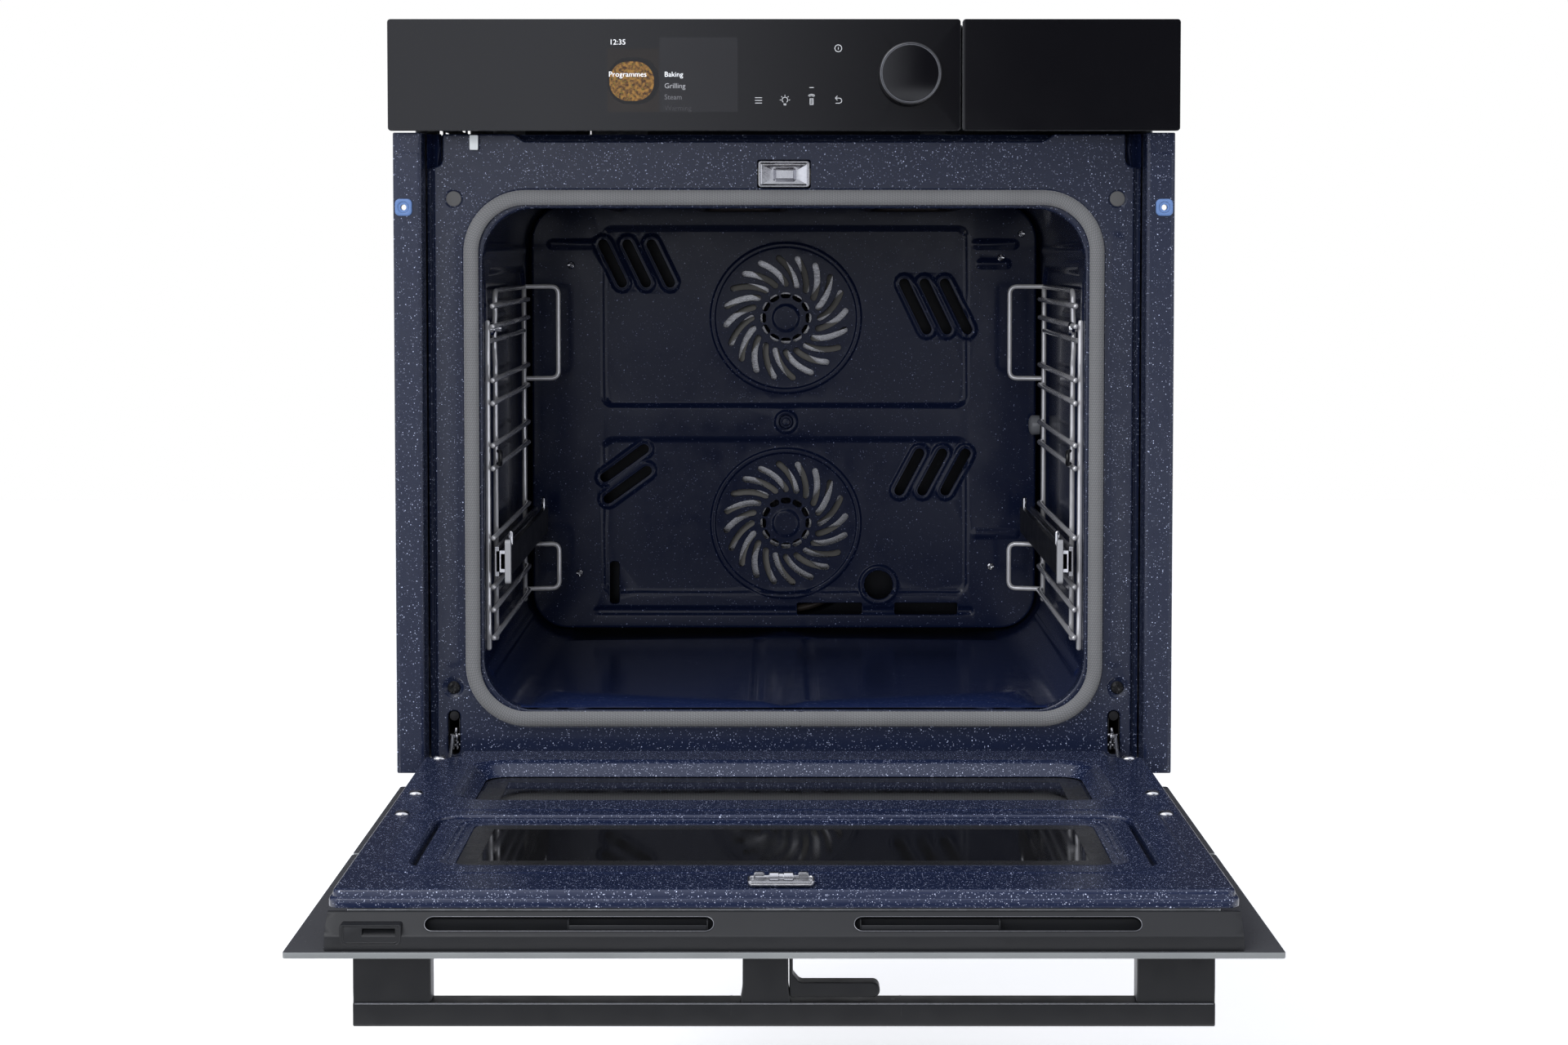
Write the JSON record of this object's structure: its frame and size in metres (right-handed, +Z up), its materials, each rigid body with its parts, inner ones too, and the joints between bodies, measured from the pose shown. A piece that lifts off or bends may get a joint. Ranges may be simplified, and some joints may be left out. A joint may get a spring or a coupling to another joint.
{
  "type": "wall oven",
  "caption": "Built-in oven with a control panel, an enamelled cavity and a drop-down door whose upper half folds on its own.",
  "frame": {"origin": "centre of the carcass's underside, on the shelf that it stands on", "axes": "+X to the right of a person in front, +Y into the cabinet, +Z up"},
  "size_m": [0.595, 1.0346, 0.6417],
  "materials": {
    "enamel": "gloss",
    "cavity_enamel": "gloss",
    "galvanised": "satin",
    "black_glass": "polished",
    "clear_glass": "polished",
    "chrome": "polished",
    "steel": "satin",
    "gasket": "matte",
    "dark_trim": "satin",
    "handle": "satin",
    "dark_plastic": "matte",
    "white_plastic": "satin",
    "insulation": "matte",
    "element": "satin",
    "screen": "gloss"
  },
  "bodies": {
    "carcass": {"base_plate": "galvanised", "outer_wrap": "galvanised", "rear_cover": "galvanised", "front_plate": "enamel", "door_gasket": "gasket", "door_keeper": "steel", "cavity_liner": "cavity_enamel", "rear_baffle": "cavity_enamel", "insulation_jacket": "insulation", "grill_element": "element", "bottom_element": "element", "ring_heater_upper": "element", "ring_heater_lower": "element", "fan_motor_upper": "galvanised", "fan_motor_lower": "galvanised", "side_trim_left": "enamel", "side_trim_right": "enamel", "hinge_receiver_left": "dark_plastic", "hinge_receiver_right": "dark_plastic", "hinge_arm_left": "steel", "hinge_arm_right": "steel", "side_rack_left": "chrome", "side_rack_right": "chrome", "rack_posts_left": "chrome", "rack_posts_right": "chrome", "rail_fixed_left": "chrome", "rail_fixed_right": "chrome", "panel_glass": "black_glass", "panel_chassis": "dark_plastic", "display_module": "screen", "tank_housing": "dark_plastic", "blower_housing": "dark_plastic", "mains_terminal": "dark_plastic"},
    "door_sensor": {"door_sensor_tab": "white_plastic"},
    "knob_plunger": {"knob_shaft": "steel"},
    "knob_ring": {"knob": "handle"},
    "water_drawer": {"drawer_front": "black_glass", "water_tank": "white_plastic"},
    "blower_rotor": {"blower_wheel": "dark_plastic"},
    "fan_upper": {"fan_impeller_upper": "steel"},
    "fan_lower": {"fan_impeller_lower": "steel"},
    "rail_mid_left": {"rail_middle_left": "steel"},
    "rail_mid_right": {"rail_middle_right": "steel"},
    "rail_in_left": {"rail_inner_left": "chrome"},
    "rail_in_right": {"rail_inner_right": "chrome"},
    "door": {"door_frame": "enamel", "outer_glass_lower": "black_glass", "lower_window": "clear_glass", "door_catch": "steel", "hinge_leaf_left": "steel", "hinge_leaf_right": "steel", "flex_hinge_left": "dark_plastic", "flex_hinge_right": "dark_plastic"},
    "top_door": {"outer_glass_upper": "black_glass", "top_door_plate": "enamel", "upper_window": "clear_glass", "top_trim": "dark_trim", "handle_bar": "handle"},
    "lever": {"handle_lever": "handle"},
    "latch": {"latch_hook": "steel"}
  },
  "joints": [
    {"name": "door_hinge", "type": "hinge", "parent": "carcass", "child": "door", "pos_m": [0, -0.2745, 0.0023], "axis": [1, 0, 0], "range_deg": [-90, 0]},
    {"name": "top_door_hinge", "type": "hinge", "parent": "door", "child": "top_door", "pos_m": [0, -0.4915, -0.0192], "axis": [1, 0, 0], "range_deg": [0, 90]},
    {"name": "lever_pull", "type": "hinge", "parent": "top_door", "child": "lever", "pos_m": [0.0042, -0.7213, -0.046], "axis": [0, 1, 0], "range_deg": [0, 2], "stiffness_Nm_per_rad": 1, "springref_deg": -2.86},
    {"name": "latch_turn", "type": "hinge", "parent": "top_door", "child": "latch", "pos_m": [0, -0.7255, -0.001], "axis": [1, 0, 0], "range_deg": [0, 6]},
    {"name": "knob_press", "type": "slide", "parent": "carcass", "child": "knob_plunger", "axis": [0, 1, 0], "range_m": [0, 0.0012], "stiffness_N_per_m": 800, "springref_m": -0.0005},
    {"name": "knob_turn", "type": "hinge", "parent": "knob_plunger", "child": "knob_ring", "pos_m": [0.0941, -0.305, 0.5321], "axis": [0, -1, 0], "continuous": true},
    {"name": "water_drawer_slide", "type": "slide", "parent": "carcass", "child": "water_drawer", "axis": [0, -1, 0], "range_m": [0, 0.2]},
    {"name": "rail_slide_left", "type": "slide", "parent": "carcass", "child": "rail_in_left", "axis": [0, -1, 0], "range_m": [0, 0.33]},
    {"name": "rail_slide_right", "type": "slide", "parent": "carcass", "child": "rail_in_right", "axis": [0, -1, 0], "range_m": [0, 0.33]},
    {"name": "rail_mid_slide_left", "type": "slide", "parent": "carcass", "child": "rail_mid_left", "axis": [0, -1, 0], "range_m": [0, 0.165]},
    {"name": "rail_mid_slide_right", "type": "slide", "parent": "carcass", "child": "rail_mid_right", "axis": [0, -1, 0], "range_m": [0, 0.165]},
    {"name": "fan_upper_spin", "type": "hinge", "parent": "carcass", "child": "fan_upper", "pos_m": [0.0017, 0.2, 0.3379], "axis": [0, 1, 0], "continuous": true},
    {"name": "fan_lower_spin", "type": "hinge", "parent": "carcass", "child": "fan_lower", "pos_m": [0.0017, 0.2, 0.1476], "axis": [0, 1, 0], "continuous": true},
    {"name": "blower_spin", "type": "hinge", "parent": "carcass", "child": "blower_rotor", "pos_m": [0, 0.1445, 0.504], "axis": [1, 0, 0], "continuous": true},
    {"name": "sensor_press", "type": "slide", "parent": "carcass", "child": "door_sensor", "axis": [0, 1, 0], "range_m": [0, 0.003], "stiffness_N_per_m": 300, "springref_m": -0.002}
  ],
  "couplings": [
    {"joint": "latch_turn", "follows": "lever_pull", "ratio": 3},
    {"joint": "rail_mid_slide_left", "follows": "rail_slide_left", "ratio": 0.5},
    {"joint": "rail_mid_slide_right", "follows": "rail_slide_right", "ratio": 0.5}
  ]
}
